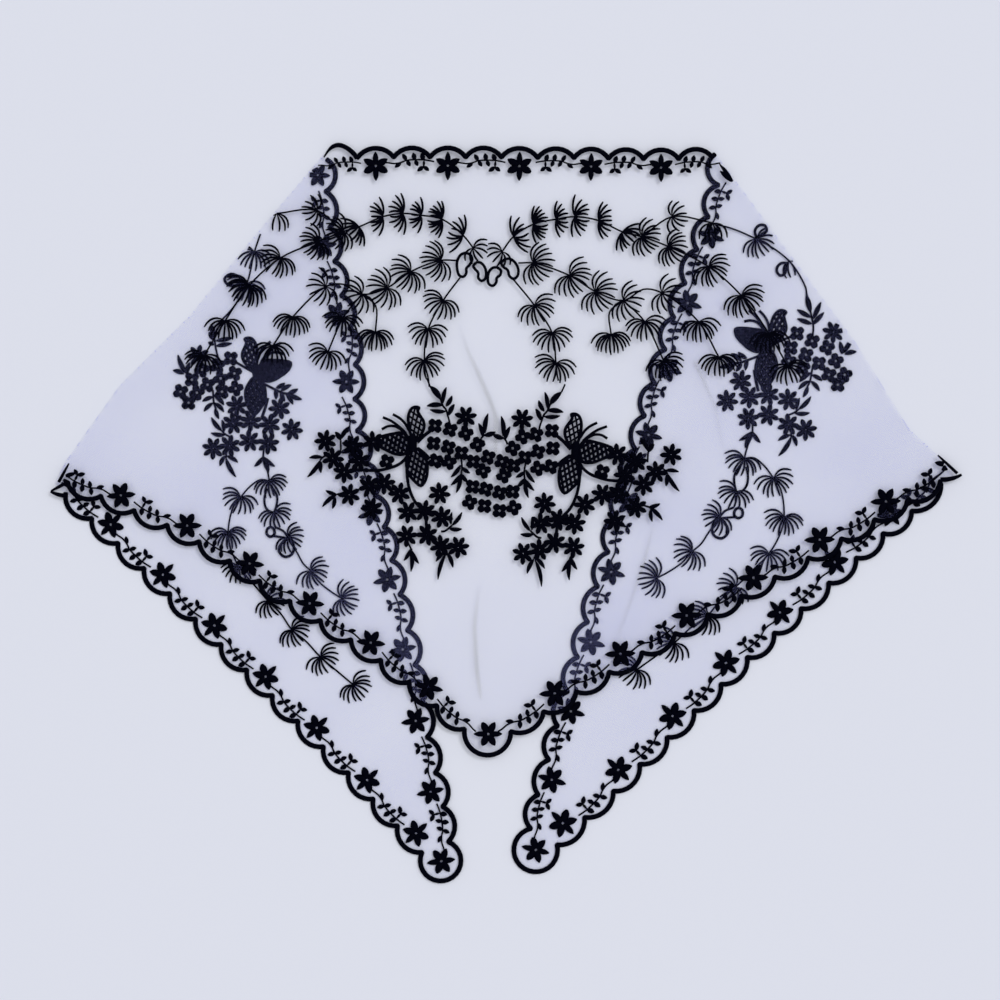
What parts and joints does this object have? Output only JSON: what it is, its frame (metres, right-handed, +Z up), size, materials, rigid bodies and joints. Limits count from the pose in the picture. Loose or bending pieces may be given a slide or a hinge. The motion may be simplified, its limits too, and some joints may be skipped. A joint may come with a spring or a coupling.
{
  "type": "lace headscarf",
  "caption": "Triangular net headscarf with scalloped satin edges and embroidered flowers, tendrils and bouquets, laid flat with both long ends folded under the middle.",
  "frame": {"origin": "centre of the laid scarf's footprint, on the surface that it lies on", "axes": "+X along the long edge, +Y from the tip of the triangle to the long edge, +Z up out of the embroidered face"},
  "size_m": [0.7238, 0.5864, 0.0045],
  "materials": {
    "net": "sheer fine net, matte",
    "thread": "satin embroidery thread, soft sheen"
  },
  "bodies": {
    "root": {"net_ground": "net", "top_satin_edge": "thread", "legs_satin_edge": "thread", "left_end_satin_edge": "thread", "right_end_satin_edge": "thread", "top_garland": "thread", "left_leg_garland": "thread", "right_leg_garland": "thread", "panel_tip_flower": "thread", "left_end_leg_garland": "thread", "left_end_long_garland": "thread", "left_end_tip_flower": "thread", "right_end_leg_garland": "thread", "right_end_long_garland": "thread", "right_end_tip_flower": "thread", "left_panel_vines": "thread", "right_panel_vines": "thread", "left_end_vines": "thread", "right_end_vines": "thread", "left_bouquet": "thread", "right_bouquet": "thread", "left_end_bouquet": "thread", "right_end_bouquet": "thread", "left_butterfly": "thread", "right_butterfly": "thread", "left_end_butterfly": "thread", "right_end_butterfly": "thread"}
  },
  "joints": []
}
